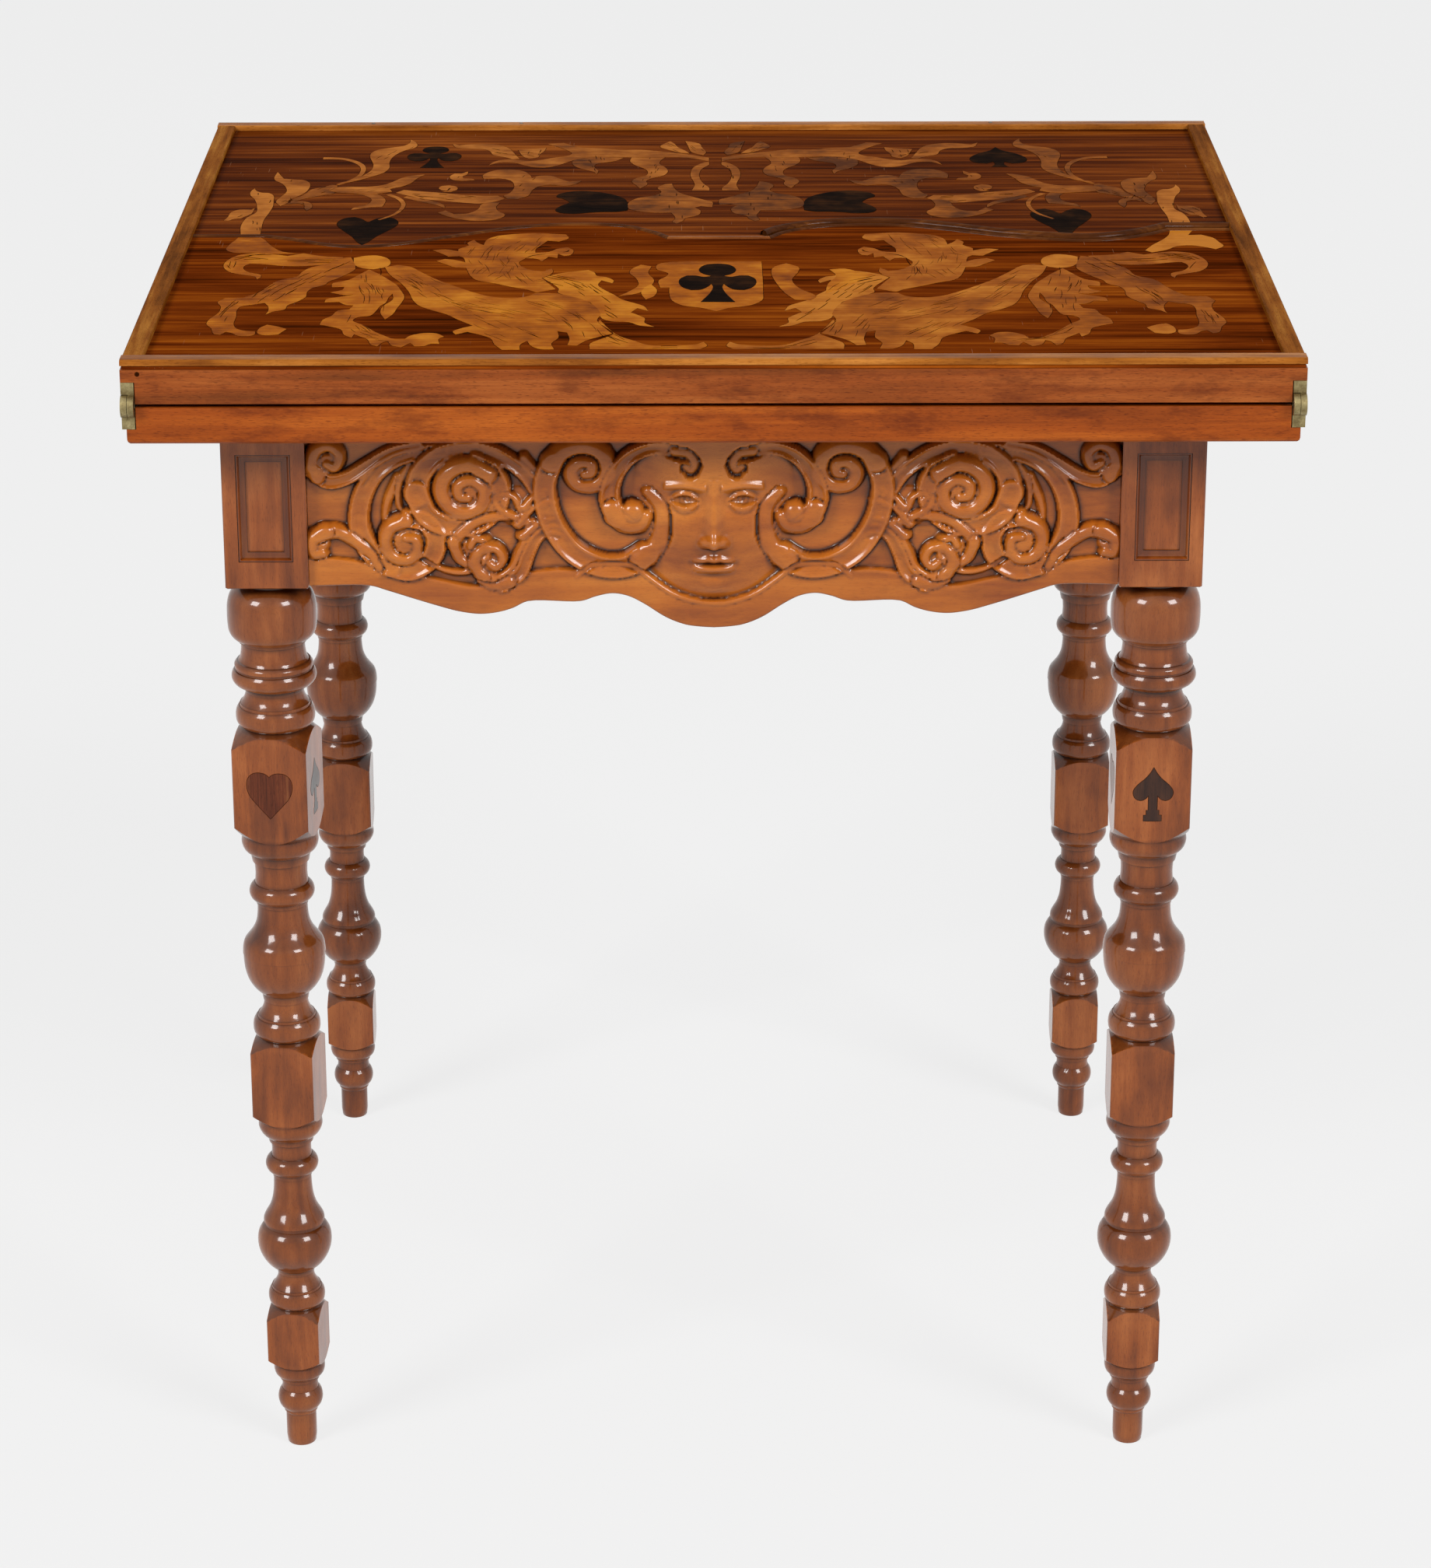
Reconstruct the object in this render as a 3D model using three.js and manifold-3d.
// Fold-over card table: turned legs and shaped aprons carry a bed, and two
// flaps, hinged along its front and rear edges, lie folded over it and meet
// in a waved seam. Millimetres, +Z up, the carved front towards -Y, origin on
// the floor under the middle of the top.
import * as THREE from 'three';
import { mergeVertices } from 'three/addons/utils/BufferGeometryUtils.js';
import Module from 'manifold-3d';

const wasm = await Module();
wasm.setup();

// Overall sizes
const tableHeight = 775;
const topWidth = 721;
const topDepth = 635;

// Clearances
const glueGap = 0.2; // between pieces that are glued or seated on each other
const runGap = 0.3; // between pieces that turn past each other
const overrun = 5; // how far a cutting solid passes the face that it opens

// Bed, the fixed lower leaf
const bedThickness = 23.4;
const bedSideInset = 2.7; // its sides stand in from the flaps' sides
const bedEdgeRadius = 3.4; // round along its lower edge
const leafGap = 2.4; // open joint between the bed and the flaps

// Flaps: a core board, a veneered panel and a raised rim
const coreThickness = 21.5;
const panelThickness = 2.1;
const panelInset = 0.9; // makes the dark groove under the rim
const rimHeight = 3.7;
const rimWidth = 13;
const rimRound = 2.4; // round of the rim's outer top edge
const seamGap = 0.6; // between the two flaps along the seam
const beadWidth = 4.4; // low bead along the front flap's seam edge
const beadHeight = 3.4;
const rearBeadWidth = 6.4; // prouder bead on the rear flap, right of the middle
const rearBeadHeight = 5.8;

// Playing cloth let into the bed and the flaps' undersides
const clothThickness = 1.4;
const clothInset = 0.2; // its face lies this much below the wood
const clothMargin = 56; // wood left at the long and short edges
const clothSeamMargin = 62; // wood left between the cloth and the flaps' seam line

// Hinges at the ends of the front and rear edges
const leafThickness = 8; // of a brass leaf, across the table
const leafHeight = 13.5;
const leafLength = 62;
const leafSlot = 0.6; // dark slot between a leaf and the wood beside it
const knuckleRadius = 6.9;
const pinRadius = 2.2;
const axisOffset = 0.2; // the hinge axis stands this far outside the edge

// Frame
const sideOverhang = 55; // of the top beyond the leg blocks
const frontOverhang = 36.5;
const rearOverhang = 26.5;
const blockWidth = 52; // square block at the head of a leg
const blockHeight = 105;
const turningRadius = 28.4; // widest turned member, the cup under the block

// Sunk panels with a mitred moulding on the blocks' outer faces
const sunkWidth = 34;
const sunkHeight = 70;
const sunkDepth = 5;
const mouldingWidth = 5.5;
const mouldingDepth = 4.4;
const mouldingLip = 1.4; // its height along the inner edge

// Aprons
const apronThickness = 24;
const apronRecess = 5; // face set back from the blocks' faces
const apronDrop = 28; // the front apron's middle hangs this far below the blocks
const sideDrop = 16; // the other aprons' middle
const tenonThickness = 10;
const tenonLength = 20;
const tenonHeight = 68;
const tenonTopMargin = 16; // wood above a tenon

// Corner blocks behind the legs
const braceReach = 48; // along each apron from the leg
const braceHeight = 58;

// Buttons and screws that hold the bed down
const buttonWidth = 30;
const buttonLength = 44;
const buttonThickness = 17;
const buttonTongue = 9; // length of the tongue in the apron's slot
const tongueThickness = 7;
const buttonPlace = 128; // from the apron's middle
const screwRadius = 2.1;
const screwLength = 34;
const screwHeadRadius = 4.2;
const screwHeadHeight = 2.4;
const screwPlace = 27; // from the apron's inner face

// Levels, from the floor up
const rimBottom = tableHeight - rimHeight;
const panelTop = rimBottom - glueGap;
const coreTop = panelTop - panelThickness - glueGap;
const flapBottom = coreTop - coreThickness;
const bedTop = flapBottom - leafGap;
const bedBottom = bedTop - bedThickness;
const blockTop = bedBottom - glueGap;
const blockBottom = blockTop - blockHeight;
const hingeLevel = bedTop + leafGap / 2;

// Places of the legs: between their centres, and the frame's middle behind the top's
const legSpacingX = topWidth - 2 * sideOverhang - blockWidth;
const legSpacingY = topDepth - frontOverhang - rearOverhang - blockWidth;
const frameSetback = (frontOverhang - rearOverhang) / 2;

// Half sizes used throughout
const halfWidth = topWidth / 2;
const halfDepth = topDepth / 2;
const halfBlock = blockWidth / 2;

// Finish of each kind of piece
const finishes = {
  walnut: { color: 0x7a3f1c, roughness: 0.35 },
  carved: { color: 0x84421c, roughness: 0.32 },
  panel: { color: 0x5e2c14, roughness: 0.28 },
  rim: { color: 0xa86226, roughness: 0.33 },
  bead: { color: 0x4a2216, roughness: 0.3 },
  secondary: { color: 0xa07a4e, roughness: 0.7 },
  cloth: { color: 0x2f5b3a, roughness: 0.95 },
  brass: { color: 0x8f7d4e, roughness: 0.4, metalness: 1 },
  steel: { color: 0x77736c, roughness: 0.45, metalness: 1 },
};

const table = new THREE.Group();

function addPiece(parent, name, geometry, finish) {
  const piece = new THREE.Mesh(geometry, new THREE.MeshStandardMaterial(finishes[finish]));
  piece.name = name;
  parent.add(piece);
  return piece;
}

// Closed geometry from points and triangles, with its faces turned outwards
function closedGeometry(points, triangles) {
  const a = new THREE.Vector3();
  const b = new THREE.Vector3();
  const c = new THREE.Vector3();
  let volume = 0;
  for (const [i, j, k] of triangles) {
    a.fromArray(points[i]);
    b.fromArray(points[j]);
    c.fromArray(points[k]);
    volume += a.dot(b.cross(c));
  }
  const faces = volume < 0 ? triangles.map(([i, j, k]) => [i, k, j]) : triangles;
  const geometry = new THREE.BufferGeometry();
  geometry.setAttribute('position', new THREE.Float32BufferAttribute(points.flat(), 3));
  geometry.setIndex(faces.flat());
  return geometry;
}

// Skin through rings of points, closed by two caps of the same outline
function loft(rings, outline) {
  const count = outline.length;
  const contour = outline.map(([u, v]) => new THREE.Vector2(u, v));
  const cap = THREE.ShapeUtils.triangulateShape(contour, []);
  const last = (rings.length - 1) * count;
  const triangles = [];
  for (const [i, j, k] of cap) {
    triangles.push([i, k, j]);
    triangles.push([last + i, last + j, last + k]);
  }
  for (let ring = 0; ring < rings.length - 1; ring += 1) {
    const low = ring * count;
    const high = low + count;
    for (let k = 0; k < count; k += 1) {
      const next = (k + 1) % count;
      triangles.push([low + k, low + next, high + next]);
      triangles.push([low + k, high + next, high + k]);
    }
  }
  return closedGeometry(rings.flat(), triangles);
}

function signedArea(outline) {
  let area = 0;
  outline.forEach(([x, y], k) => {
    const [nextX, nextY] = outline[(k + 1) % outline.length];
    area += (x * nextY - nextX * y) / 2;
  });
  return area;
}

// Upright prism on an outline in plan
function prism(outline, low, high) {
  const turned = signedArea(outline) < 0 ? [...outline].reverse() : outline;
  const rings = [low, high].map((z) => turned.map(([x, y]) => [x, y, z]));
  return loft(rings, turned);
}

function box(x0, x1, y0, y1, z0, z1) {
  const geometry = new THREE.BoxGeometry(Math.abs(x1 - x0), Math.abs(y1 - y0), Math.abs(z1 - z0));
  return geometry.translate((x0 + x1) / 2, (y0 + y1) / 2, (z0 + z1) / 2);
}

// Round bar along X
function barX(radius, x0, x1, y, z, sides = 16) {
  const geometry = new THREE.CylinderGeometry(radius, radius, Math.abs(x1 - x0), sides);
  return geometry.rotateZ(Math.PI / 2).translate((x0 + x1) / 2, y, z);
}

// Round bar along Z
function barZ(radius, x, y, z0, z1, sides = 8) {
  const geometry = new THREE.CylinderGeometry(radius, radius, Math.abs(z1 - z0), sides);
  return geometry.rotateX(Math.PI / 2).translate(x, y, (z0 + z1) / 2);
}

// Cutting and joining
function solid(geometry) {
  const bare = geometry.clone();
  bare.deleteAttribute('normal');
  bare.deleteAttribute('uv');
  const merged = mergeVertices(bare);
  const vertProperties = new Float32Array(merged.attributes.position.array);
  const triVerts = new Uint32Array(merged.index.array);
  return new wasm.Manifold(new wasm.Mesh({ numProp: 3, vertProperties, triVerts }));
}

function geometryOf(manifold) {
  const { vertProperties, triVerts } = manifold.getMesh();
  const geometry = new THREE.BufferGeometry();
  geometry.setAttribute('position', new THREE.BufferAttribute(vertProperties, 3));
  geometry.setIndex(new THREE.BufferAttribute(triVerts, 1));
  return geometry;
}

function shaped(base, joins, cuts) {
  let result = solid(base);
  for (const join of joins) result = result.add(solid(join));
  for (const cut of cuts) result = result.subtract(solid(cut));
  return geometryOf(result);
}

// Unit normal to the left of a path at each of its points, stretched at bends
function pathNormals(path) {
  return path.map((point, k) => {
    const before = path[Math.max(k - 1, 0)];
    const after = path[Math.min(k + 1, path.length - 1)];
    const into = new THREE.Vector2(point[0] - before[0], point[1] - before[1]).normalize();
    const out = new THREE.Vector2(after[0] - point[0], after[1] - point[1]).normalize();
    if (k === 0) into.copy(out);
    if (k === path.length - 1) out.copy(into);
    const along = into.clone().add(out).normalize();
    const stretch = 1 / along.dot(out);
    return [-along.y * stretch, along.x * stretch];
  });
}

function offsetPath(path, distance) {
  const normals = pathNormals(path);
  return path.map(([x, y], k) => [x + normals[k][0] * distance, y + normals[k][1] * distance]);
}

// Bar of one section, [distance to the left, level], along a path in plan
function sweep(path, section, normals = pathNormals(path)) {
  const rings = path.map(([x, y], k) =>
    section.map(([left, z]) => [x + normals[k][0] * left, y + normals[k][1] * left, z]));
  return loft(rings, section);
}

// Smooth curve through points given as shares of the top's width and depth
function waveThrough(shares, steps) {
  const knots = shares.map(([x, y]) => new THREE.Vector3(x * topWidth, y * topDepth, 0));
  const curve = new THREE.CatmullRomCurve3(knots);
  return curve.getPoints(steps).map((point) => [point.x, point.y]);
}

// Seam between the flaps, from left to right
const waveSteps = 18;
const leftWaveShares = [
  [-0.416, 0], [-0.384, -0.018], [-0.354, -0.038], [-0.327, -0.046], [-0.291, -0.036],
  [-0.242, -0.003], [-0.18, 0.035], [-0.125, 0.047], [-0.08, 0.038], [-0.05, 0.008], [-0.039, -0.0105],
];
const rightWaveShares = [
  [0.0506, -0.0105], [0.0624, 0.0094], [0.0943, 0.0331], [0.1359, 0.0433], [0.1803, 0.0394],
  [0.2219, 0.0213], [0.2635, -0.0016], [0.3051, -0.0173], [0.3467, -0.0252], [0.3773, -0.0165],
  [0.4022, 0], [0.423, 0.0205],
];
const leftWave = waveThrough(leftWaveShares, waveSteps);
const rightWave = waveThrough(rightWaveShares, waveSteps);
const seamLeftLevel = leftWave[0][1];
const seamRightLevel = rightWave[waveSteps][1];
const rimInner = halfWidth - rimWidth;
const seam = [
  [-halfWidth, seamLeftLevel], [-rimInner, seamLeftLevel], ...leftWave,
  ...rightWave, [rimInner, seamRightLevel], [halfWidth, seamRightLevel],
];

// Indices on the seam: the inner edges of the side rims, and the ends of the straight middle
const leftRimIndex = 1;
const rightRimIndex = seam.length - 2;
const leftJoint = leftRimIndex + 1 + waveSteps;
const rightJoint = leftJoint + 1;

function within(path, reach) {
  return path.map(([x, y]) => [Math.max(-reach, Math.min(reach, x)), y]);
}

// Plan of a flap's board, between the seam and the outer edge
function boardOutline(side) {
  const edge = offsetPath(seam, side * (seamGap / 2));
  return [...within(edge, halfWidth), [halfWidth, side * halfDepth], [-halfWidth, side * halfDepth]];
}

// Plan of a flap's panel: it stands back from the seam where a bead runs
function panelOutline(side) {
  const reach = halfWidth - panelInset;
  const outer = side * (halfDepth - panelInset);
  const first = side < 0 ? leftRimIndex : rightJoint;
  const width = side < 0 ? beadWidth : rearBeadWidth;
  const close = offsetPath(seam, side * (seamGap / 2));
  const back = offsetPath(seam, side * (seamGap / 2 + width + glueGap));
  const edge = [
    ...close.slice(0, first + 1), ...back.slice(first, rightRimIndex + 1), ...close.slice(rightRimIndex),
  ];
  return [...within(edge, reach), [reach, outer], [-reach, outer]];
}

// Space that a hinge leaf needs in the wood, at one corner of the top
function leafPocket(side, end, low, high) {
  const inner = end * (halfWidth - leafThickness - leafSlot);
  const far = side * (halfDepth - leafLength - glueGap);
  return box(inner, end * (halfWidth + overrun), far, side * (halfDepth + overrun), low, high);
}

// Rim strip: flat on the panel, rounded along its outer top edge
const rimArcSteps = 3;
const rimSection = [[0, rimBottom], [rimWidth, rimBottom], [rimWidth, tableHeight]];
for (let k = 0; k <= rimArcSteps; k += 1) {
  const turn = (Math.PI / 2) * (k / rimArcSteps);
  rimSection.push([rimRound * (1 - Math.sin(turn)), tableHeight - rimRound * (1 - Math.cos(turn))]);
}

function addRim(parent, name, from, to) {
  addPiece(parent, name, sweep([from, to], rimSection), 'rim');
}

// A bead stands on a flap's board, one side flush with the board's seam edge
const beadArcSteps = 4;

function beadSection(side) {
  const width = side < 0 ? beadWidth : rearBeadWidth;
  const height = side < 0 ? beadHeight : rearBeadHeight;
  const foot = coreTop + glueGap;
  const middle = side * (seamGap / 2 + width / 2);
  const section = [[middle - width / 2, foot], [middle + width / 2, foot]];
  for (let k = 0; k <= beadArcSteps; k += 1) {
    const turn = Math.PI * (k / beadArcSteps);
    section.push([middle + (width / 2) * Math.cos(turn), foot + (height / 2) * (1 + Math.sin(turn))]);
  }
  return section;
}

// Bead from one index of the seam to another, its ends drawn in by the trims
function addBead(parent, name, side, [first, last], [startTrim, endTrim]) {
  const normals = pathNormals(seam).slice(first, last + 1);
  const path = seam.slice(first, last + 1).map(([x, y]) => [x, y]);
  path[0][0] += startTrim;
  path[path.length - 1][0] -= endTrim;
  addPiece(parent, name, sweep(path, beadSection(side), normals), 'bead');
}

// Cloth under a flap or on the bed: outline in plan, shrunk by a clearance
function clothOutline(low, high, clearance) {
  const reach = halfWidth - bedSideInset - clothMargin - clearance;
  const [from, to] = [low + clearance, high - clearance];
  return [[-reach, from], [reach, from], [reach, to], [-reach, to]];
}

function addFlap(label, side) {
  const flap = new THREE.Group();
  const lowCloth = side < 0 ? -halfDepth + clothMargin : clothSeamMargin;
  const highCloth = side < 0 ? -clothSeamMargin : halfDepth - clothMargin;
  const clothTop = flapBottom + clothInset + clothThickness;
  const recess = prism(clothOutline(lowCloth, highCloth, 0), flapBottom - overrun, clothTop + glueGap);
  const pockets = [-1, 1].map((end) =>
    leafPocket(side, end, flapBottom - overrun, flapBottom + leafHeight + glueGap));
  const core = prism(boardOutline(side), flapBottom, coreTop);
  addPiece(flap, `${label}_flap_board`, shaped(core, [], [recess, ...pockets]), 'walnut');

  const cloth = prism(clothOutline(lowCloth, highCloth, glueGap), flapBottom + clothInset, clothTop);
  addPiece(flap, `${label}_flap_cloth`, cloth, 'cloth');

  const panel = prism(panelOutline(side), coreTop + glueGap, panelTop);
  addPiece(flap, `${label}_flap_marquetry`, panel, 'panel');

  const outer = side * halfDepth;
  const sideStart = side * (halfDepth - rimWidth - glueGap);
  const sideEnds = [seamLeftLevel, seamRightLevel].map((y) => y + side * (seamGap / 2));
  if (side < 0) {
    addRim(flap, 'front_rim', [-halfWidth, outer], [halfWidth, outer]);
    addRim(flap, 'front_left_rim', [-halfWidth, sideEnds[0]], [-halfWidth, sideStart]);
    addRim(flap, 'front_right_rim', [halfWidth, sideStart], [halfWidth, sideEnds[1]]);
    addBead(flap, 'seam_bead_left', side, [leftRimIndex, leftJoint], [glueGap, 0]);
    addBead(flap, 'seam_bead_middle', side, [leftJoint, rightJoint], [glueGap, glueGap]);
    addBead(flap, 'seam_bead_right', side, [rightJoint, rightRimIndex], [0, glueGap]);
  } else {
    addBead(flap, 'seam_bead_rear', side, [rightJoint, rightRimIndex], [glueGap, glueGap]);
    addRim(flap, 'rear_rim', [halfWidth, outer], [-halfWidth, outer]);
    addRim(flap, 'rear_left_rim', [-halfWidth, sideStart], [-halfWidth, sideEnds[0]]);
    addRim(flap, 'rear_right_rim', [halfWidth, sideEnds[1]], [halfWidth, sideStart]);
  }
  table.add(flap);
}

// A hinge: two heavy leaves whose half-thick knuckles turn side by side on a pin
function addHinge(label, side, end) {
  const xLow = Math.min(end * halfWidth, end * (halfWidth - leafThickness));
  const xHigh = xLow + leafThickness;
  const middle = (xLow + xHigh) / 2;
  const axisY = side * (halfDepth + axisOffset);
  const nearEnd = side * halfDepth;
  const farEnd = side * (halfDepth - leafLength);
  const round = (radius, x0, x1) => barX(radius, x0, x1, axisY, hingeLevel);
  const bore = round(pinRadius + runGap, xLow - overrun, xHigh + overrun);

  const flapKnuckle = round(knuckleRadius, middle + runGap / 2, xHigh);
  const flapLeaf = box(xLow, xHigh, nearEnd, farEnd, flapBottom, flapBottom + leafHeight);
  const flapNotch = round(knuckleRadius + runGap, xLow - overrun, middle + runGap / 2);
  addPiece(table, `hinge_flap_leaf_${label}`, shaped(flapLeaf, [flapKnuckle], [flapNotch, bore]), 'brass');

  const bedKnuckle = round(knuckleRadius, xLow, middle - runGap / 2);
  const bedLeaf = box(xLow, xHigh, nearEnd, farEnd, bedTop - leafHeight, bedTop);
  const bedNotch = round(knuckleRadius + runGap, middle - runGap / 2, xHigh + overrun);
  addPiece(table, `hinge_bed_leaf_${label}`, shaped(bedLeaf, [bedKnuckle], [bedNotch, bore]), 'brass');

  addPiece(table, `hinge_pin_${label}`, round(pinRadius, xLow + glueGap, xHigh - glueGap), 'steel');
}

// Places of the screws that hold the bed, seen from the front and rear aprons
const apronFaceY = legSpacingY / 2 + halfBlock - apronRecess;
const apronInnerY = apronFaceY - apronThickness;
const screwSpots = [];
for (const side of [-1, 1]) {
  for (const end of [-1, 1]) {
    screwSpots.push([end * buttonPlace, frameSetback + side * (apronInnerY - screwPlace)]);
  }
}

function addBed() {
  const halfBed = halfWidth - bedSideInset;
  const rectangle = [[-1, -1], [1, -1], [1, 1], [-1, 1]];
  const edgeSteps = 3;
  const rings = [];
  for (let k = 0; k <= edgeSteps; k += 1) {
    const turn = (Math.PI / 2) * (k / edgeSteps);
    const inset = bedEdgeRadius * (1 - Math.sin(turn));
    const z = bedBottom + bedEdgeRadius * (1 - Math.cos(turn));
    rings.push(rectangle.map(([x, y]) => [x * (halfBed - inset), y * (halfDepth - inset), z]));
  }
  rings.push(rectangle.map(([x, y]) => [x * halfBed, y * halfDepth, bedTop]));
  const board = loft(rings, rectangle);

  const clothLow = bedTop - clothInset - clothThickness;
  const reach = halfDepth - clothMargin;
  const recess = prism(clothOutline(-reach, reach, 0), clothLow - glueGap, bedTop + overrun);
  const pockets = [];
  for (const side of [-1, 1]) {
    for (const end of [-1, 1]) {
      pockets.push(leafPocket(side, end, bedTop - leafHeight - glueGap, bedTop + overrun));
    }
  }
  const pilots = screwSpots.map(([x, y]) =>
    barZ(screwRadius + glueGap, x, y, bedBottom - overrun, screwTop + glueGap));
  addPiece(table, 'bed_board', shaped(board, [], [recess, ...pockets, ...pilots]), 'walnut');
  const cloth = prism(clothOutline(-reach, reach, glueGap), clothLow, bedTop - clothInset);
  addPiece(table, 'bed_cloth', cloth, 'cloth');
}

// Turned leg. Its outline runs up from the foot in points of [level, radius]:
// levels are shares of the turned height, radii shares of the cup's radius.
const legOutlineShares = [
  [
    [0, 0.324], [0.0373, 0.356], [0.0414, 0.398], [0.0479, 0.493], [0.0552, 0.528], [0.0625, 0.5],
    [0.0681, 0.43], [0.0787, 0.433], [0.0819, 0.479], [0.086, 0.57], [0.0925, 0.602], [0.0987, 0.577],
  ],
  [
    [0.1704, 0.556], [0.1744, 0.641], [0.1801, 0.662], [0.1858, 0.644], [0.1907, 0.574], [0.1988, 0.468],
    [0.2085, 0.423], [0.2134, 0.461], [0.2199, 0.627], [0.2288, 0.761], [0.2385, 0.842], [0.2483, 0.863],
    [0.2572, 0.831], [0.2661, 0.694], [0.2702, 0.708], [0.2799, 0.641], [0.2921, 0.514], [0.3083, 0.451],
    [0.3237, 0.44], [0.3278, 0.472], [0.3318, 0.57], [0.3381, 0.613], [0.344, 0.574], [0.3485, 0.472],
    [0.3651, 0.472], [0.3708, 0.546], [0.3764, 0.676], [0.3837, 0.739], [0.3901, 0.711],
  ],
  [
    [0.4892, 0.662], [0.4941, 0.754], [0.5006, 0.771], [0.5071, 0.746], [0.5127, 0.658], [0.5209, 0.539],
    [0.5306, 0.5], [0.5393, 0.563], [0.546, 0.711], [0.5549, 0.831], [0.5663, 0.905], [0.5841, 0.94],
    [0.5922, 0.93], [0.5987, 0.88], [0.6052, 0.775], [0.615, 0.648], [0.6263, 0.585], [0.6401, 0.574],
    [0.6442, 0.613], [0.6482, 0.708], [0.6536, 0.743], [0.6593, 0.711], [0.664, 0.609], [0.6888, 0.609],
    [0.6985, 0.704], [0.7034, 0.824], [0.7107, 0.873], [0.7175, 0.842],
  ],
  [
    [0.8397, 0.768], [0.8446, 0.87], [0.851, 0.891], [0.8575, 0.87], [0.8635, 0.789], [0.8705, 0.687],
    [0.8778, 0.648], [0.8824, 0.697], [0.8867, 0.88], [0.894, 0.951], [0.9013, 0.937], [0.9078, 0.845],
    [0.9135, 0.757], [0.9314, 0.718], [0.9343, 0.796], [0.9387, 0.915], [0.946, 0.986], [0.9638, 1],
    [0.9752, 0.979], [0.9841, 0.908], [0.9906, 0.796], [0.9943, 0.651], [1, 0.648],
  ],
];
// Square blocks between these stretches: levels where the middles of the faces
// and then the corners start, where the corners and then the middles end, as
// shares of the turned height, and half the width as a share of the cup's radius
const legBlockShares = [
  [0.1, 0.1095, 0.1558, 0.1678, 0.616],
  [0.3917, 0.4037, 0.4751, 0.486, 0.725],
  [0.7188, 0.7362, 0.8207, 0.8356, 0.852],
];
const legSides = 16;
const legTurn = (2 * Math.PI) / legSides;

// Round section, cut off flat where the leg stays square
function legRing(z, radius, half) {
  const ring = [];
  for (let k = 0; k < legSides; k += 1) {
    const angle = legTurn * k;
    const square = half / Math.max(Math.abs(Math.cos(angle)), Math.abs(Math.sin(angle)));
    const reach = Math.min(radius, square);
    ring.push([reach * Math.cos(angle), reach * Math.sin(angle), z]);
  }
  return ring;
}

// Shoulder of a square block: a cone from the middles of its faces to its corners
function shoulderRings(middleLevel, cornerLevel, half) {
  const rings = [];
  for (let k = 0; k <= legSides / 8; k += 1) {
    const spread = 1 / Math.cos(legTurn * k);
    const share = (spread - 1) / (Math.SQRT2 - 1);
    rings.push(legRing(middleLevel + (cornerLevel - middleLevel) * share, half * spread, half));
  }
  return rings;
}

function legRings() {
  const rings = [];
  legOutlineShares.forEach((outline, stretch) => {
    for (const [level, radius] of outline) {
      rings.push(legRing(level * blockBottom, radius * turningRadius, Infinity));
    }
    if (stretch < legBlockShares.length) {
      const [middleLow, cornerLow, cornerHigh, middleHigh, halfShare] = legBlockShares[stretch];
      const half = halfShare * turningRadius;
      rings.push(...shoulderRings(middleLow * blockBottom, cornerLow * blockBottom, half));
      rings.push(...shoulderRings(middleHigh * blockBottom, cornerHigh * blockBottom, half).reverse());
    }
  });
  for (const z of [blockBottom, blockTop]) rings.push(legRing(z, halfBlock * Math.SQRT2, halfBlock));
  return rings;
}

// Leg seen at the front left corner: its outer faces look towards -X and -Y
const tenonCentre = halfBlock - apronRecess - apronThickness / 2; // from the leg's centre, outwards
const tenonTop = blockTop - tenonTopMargin;
const sunkMiddle = (blockTop + blockBottom) / 2;

function legGeometry() {
  const rings = legRings();
  const shaft = loft(rings, rings[0]);
  const near = -tenonCentre - tenonThickness / 2 - glueGap;
  const far = -tenonCentre + tenonThickness / 2 + glueGap;
  const deep = halfBlock - tenonLength - glueGap;
  const mortiseLow = tenonTop - tenonHeight - glueGap;
  const mortiseHigh = tenonTop + glueGap;
  const out = halfBlock + overrun;
  const reach = sunkWidth / 2;
  const low = sunkMiddle - sunkHeight / 2;
  const high = sunkMiddle + sunkHeight / 2;
  const floor = -halfBlock + sunkDepth;
  return shaped(shaft, [], [
    box(deep, out, near, far, mortiseLow, mortiseHigh),
    box(near, far, deep, out, mortiseLow, mortiseHigh),
    box(-reach, reach, -out, floor, low, high),
    box(-out, floor, -reach, reach, low, high),
  ]);
}

// Mitred moulding that lines a sunk panel: section [inwards, outwards] round a rectangle
function mouldingGeometry() {
  const back = -halfBlock + sunkDepth - glueGap;
  const section = [[0, 0], [mouldingWidth, 0], [mouldingWidth, mouldingLip], [0, mouldingDepth]];
  const reachX = sunkWidth / 2 - glueGap;
  const reachZ = sunkHeight / 2 - glueGap;
  const corners = [[-1, -1], [1, -1], [1, 1], [-1, 1]];
  const points = [];
  const triangles = [];
  corners.forEach(([cx, cz], corner) => {
    for (const [inwards, outwards] of section) {
      points.push([cx * (reachX - inwards), back - outwards, sunkMiddle + cz * (reachZ - inwards)]);
    }
    const next = (corner + 1) % corners.length;
    for (let k = 0; k < section.length; k += 1) {
      const here = corner * section.length + k;
      const hereUp = corner * section.length + (k + 1) % section.length;
      const there = next * section.length + k;
      const thereUp = next * section.length + (k + 1) % section.length;
      triangles.push([here, there, thereUp], [here, thereUp, hereUp]);
    }
  });
  return closedGeometry(points, triangles);
}

// Corner block: fills the corner of two aprons and is notched round the leg
function braceGeometry() {
  const wall = -(halfBlock - apronRecess - apronThickness) + glueGap;
  const leg = halfBlock + glueGap;
  const tip = halfBlock + braceReach;
  const outline = [[leg, wall], [tip, wall], [wall, tip], [wall, leg], [leg, leg]];
  return prism(outline, blockTop - braceHeight, blockTop);
}

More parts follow.
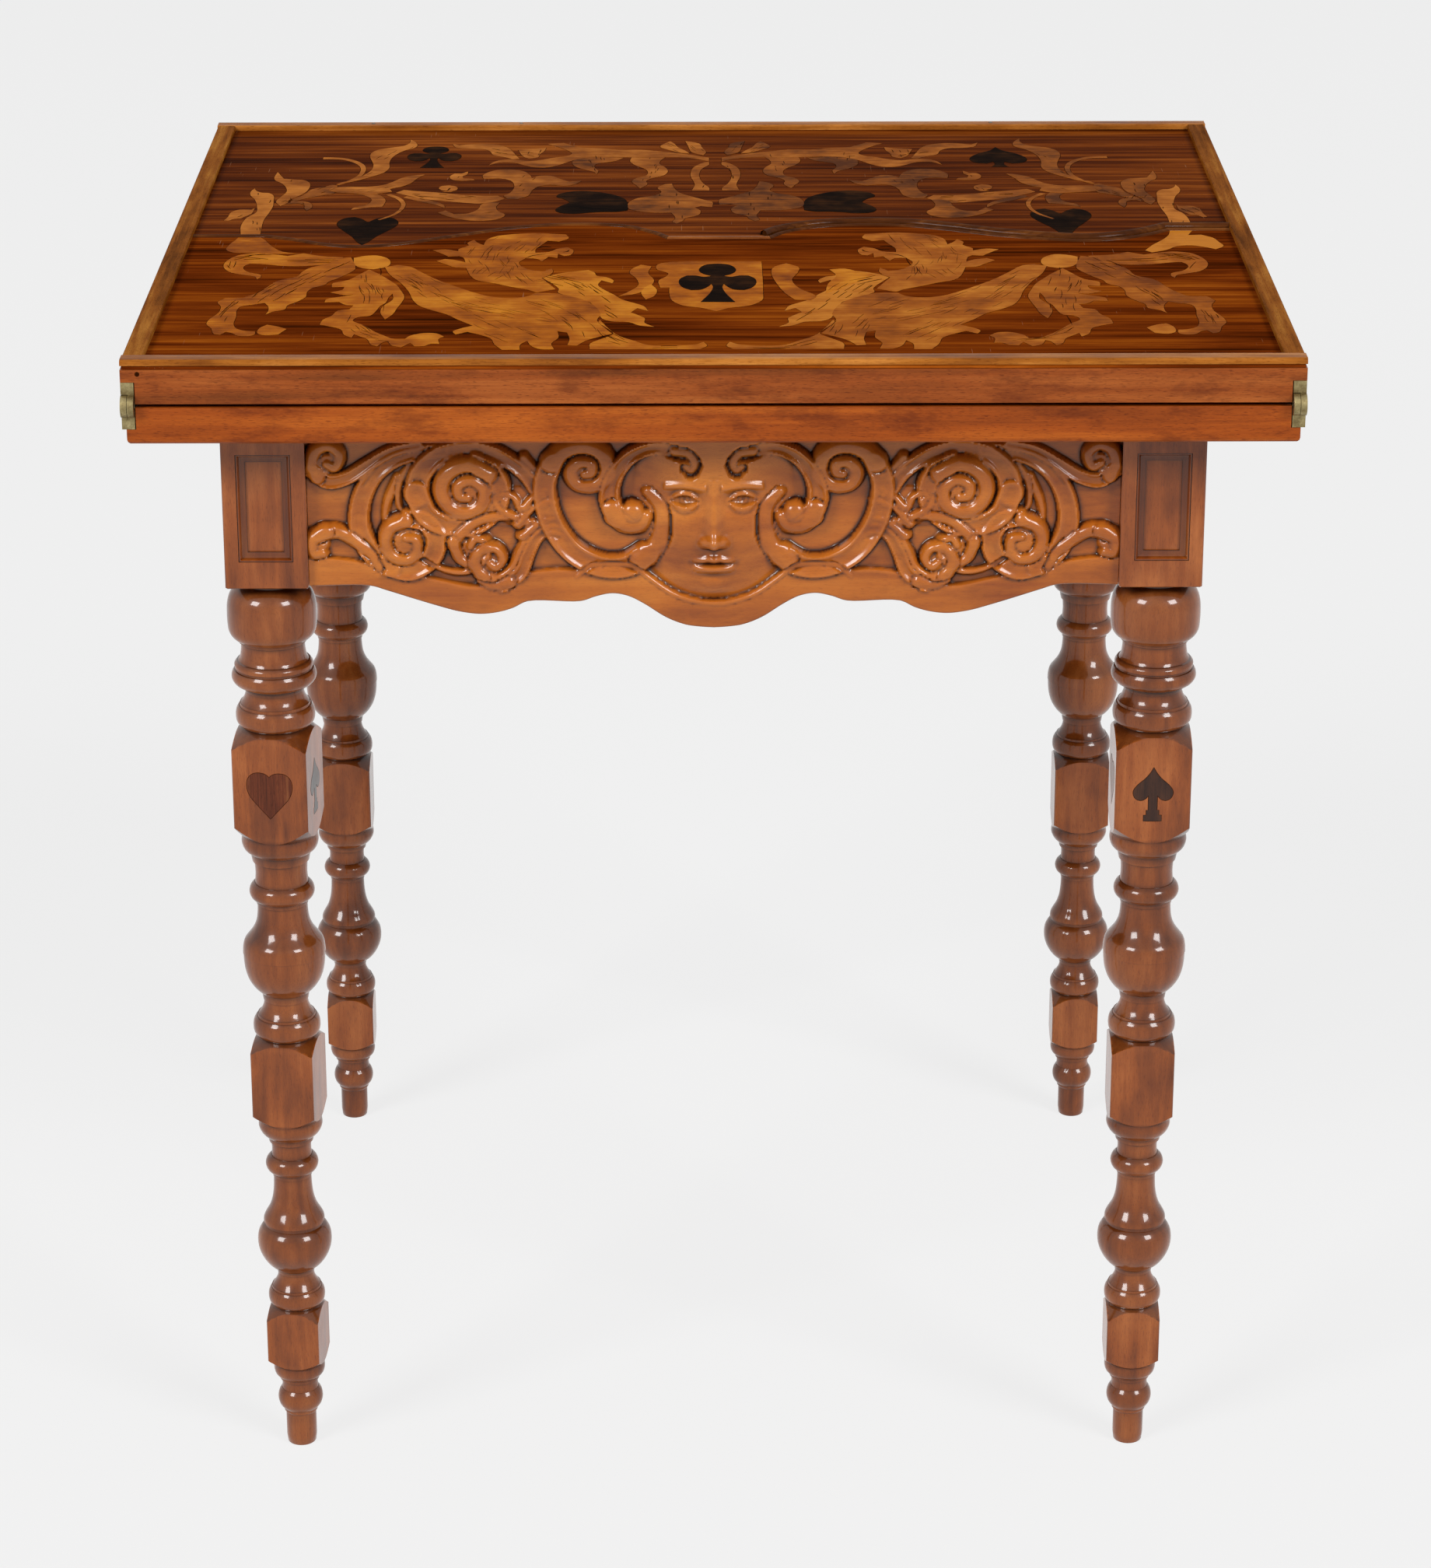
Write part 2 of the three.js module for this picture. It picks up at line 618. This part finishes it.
function addCorner(label, turn) {
  const alongX = turn % 2 === 0 ? legSpacingX / 2 : legSpacingY / 2;
  const alongY = turn % 2 === 0 ? legSpacingY / 2 : legSpacingX / 2;
  const corner = new THREE.Group();
  corner.rotation.z = (Math.PI / 2) * turn;
  corner.position.set(0, frameSetback, 0);
  const local = new THREE.Group();
  local.position.set(-alongX, -alongY, 0);
  corner.add(local);
  addPiece(local, `leg_${label}`, legGeometry(), 'walnut');
  addPiece(local, `corner_block_${label}`, braceGeometry(), 'secondary');
  addPiece(local, `panel_moulding_${label}_a`, mouldingGeometry(), 'walnut');
  const second = addPiece(local, `panel_moulding_${label}_b`, mouldingGeometry(), 'walnut');
  second.rotation.z = -Math.PI / 2;
  table.add(corner);
}

// Lower edges of the aprons, from the middle outwards: places are shares of
// half the apron's length, drops are shares of the middle's drop
const frontEdgeShares = [
  [0, 1], [0.035, 0.98], [0.071, 0.93], [0.118, 0.76], [0.174, 0.43], [0.213, 0.25], [0.252, 0.19],
  [0.292, 0.26], [0.329, 0.37], [0.46, 0.37], [0.498, 0.53], [0.536, 0.63], [0.58, 0.67], [0.631, 0.61],
  [0.679, 0.49], [0.742, 0.31], [0.809, 0.11], [0.85, 0],
];
const sideEdgeShares = [
  [0, 1], [0.08, 0.97], [0.16, 0.86], [0.25, 0.62], [0.34, 0.4], [0.42, 0.34], [0.52, 0.42],
  [0.6, 0.52], [0.68, 0.44], [0.76, 0.2], [0.84, 0],
];

function apronGeometry(length, drop, edgeShares, hasSlots) {
  const half = length / 2 - halfBlock - glueGap;
  const edge = edgeShares.map(([place, fall]) => [place * half, blockBottom - fall * drop]);
  const left = edge.slice(1).reverse().map(([x, z]) => [-x, z]);
  const leftEnd = [[-half, blockTop], [-half, blockBottom]];
  const outline = [...leftEnd, ...left, ...edge, [half, blockBottom], [half, blockTop]];
  const back = apronThickness;
  const faces = [0, back].map((y) => outline.map(([x, z]) => [x, y, z]));
  const board = loft(faces, outline);
  const tenons = [-1, 1].map((end) => box(
    end * (half - tenonLength / 2), end * (half + tenonLength),
    back / 2 - tenonThickness / 2, back / 2 + tenonThickness / 2,
    tenonTop - tenonHeight, tenonTop,
  ));
  const slots = hasSlots ? [-1, 1].map((end) => box(
    end * buttonPlace - buttonWidth / 2 - glueGap, end * buttonPlace + buttonWidth / 2 + glueGap,
    back - buttonTongue - glueGap, back + overrun,
    tongueLow - glueGap, tongueLow + tongueThickness + glueGap,
  )) : [];
  return shaped(board, tenons, slots);
}

// Buttons: their tongues sit in the aprons' slots, their backs under the bed
const tongueLow = bedBottom - glueGap - buttonThickness;
const screwTop = tongueLow + screwLength;

function buttonGeometry(place) {
  const inner = apronThickness + glueGap;
  const body = box(
    place - buttonWidth / 2, place + buttonWidth / 2, inner, inner + buttonLength,
    tongueLow, tongueLow + buttonThickness,
  );
  const tongue = box(
    place - buttonWidth / 2, place + buttonWidth / 2, apronThickness - buttonTongue, inner + buttonLength / 2,
    tongueLow, tongueLow + tongueThickness,
  );
  const holeY = apronThickness + screwPlace;
  const hole = barZ(screwRadius + glueGap, place, holeY, tongueLow - overrun, bedBottom + overrun);
  return shaped(body, [tongue], [hole]);
}

// Wood screw: a domed head under the button and a shank with a pointed end
function screwGeometry() {
  const pointShare = 0.78; // of its length, where the shank starts to taper
  const headLevel = -glueGap;
  const profile = [
    [0, headLevel - screwHeadHeight], [screwHeadRadius / 2, headLevel - screwHeadHeight],
    [screwHeadRadius, headLevel - screwHeadHeight / 2], [screwHeadRadius, headLevel],
    [screwRadius, headLevel], [screwRadius, screwLength * pointShare], [0, screwLength],
  ];
  const sides = 10;
  const points = profile.map(([radius, height]) => new THREE.Vector2(radius, height));
  return new THREE.LatheGeometry(points, sides).rotateX(Math.PI / 2);
}

function addApron(label, turn) {
  const isLong = turn % 2 === 0;
  const length = isLong ? legSpacingX : legSpacingY;
  const across = isLong ? legSpacingY : legSpacingX;
  const edgeShares = label === 'front' ? frontEdgeShares : sideEdgeShares;
  const drop = label === 'front' ? apronDrop : sideDrop;
  const turned = new THREE.Group();
  turned.rotation.z = (Math.PI / 2) * turn;
  turned.position.set(0, frameSetback, 0);
  const local = new THREE.Group();
  local.position.set(0, -(across / 2 + halfBlock - apronRecess), 0);
  turned.add(local);
  const finish = label === 'front' ? 'carved' : 'walnut';
  addPiece(local, `apron_${label}`, apronGeometry(length, drop, edgeShares, isLong), finish);
  if (isLong) {
    for (const [name, end] of [['a', -1], ['b', 1]]) {
      addPiece(local, `top_button_${label}_${name}`, buttonGeometry(end * buttonPlace), 'secondary');
      const screw = addPiece(local, `top_screw_${label}_${name}`, screwGeometry(), 'steel');
      screw.position.set(end * buttonPlace, apronThickness + screwPlace, tongueLow);
    }
  }
  table.add(turned);
}

addCorner('front_left', 0);
addCorner('front_right', 1);
addCorner('back_right', 2);
addCorner('back_left', 3);
addApron('front', 0);
addApron('right', 1);
addApron('back', 2);
addApron('left', 3);
addBed();
addFlap('front', -1);
addFlap('rear', 1);
for (const [row, side] of [['front', -1], ['rear', 1]]) {
  for (const [column, end] of [['left', -1], ['right', 1]]) addHinge(`${row}_${column}`, side, end);
}

export default table;
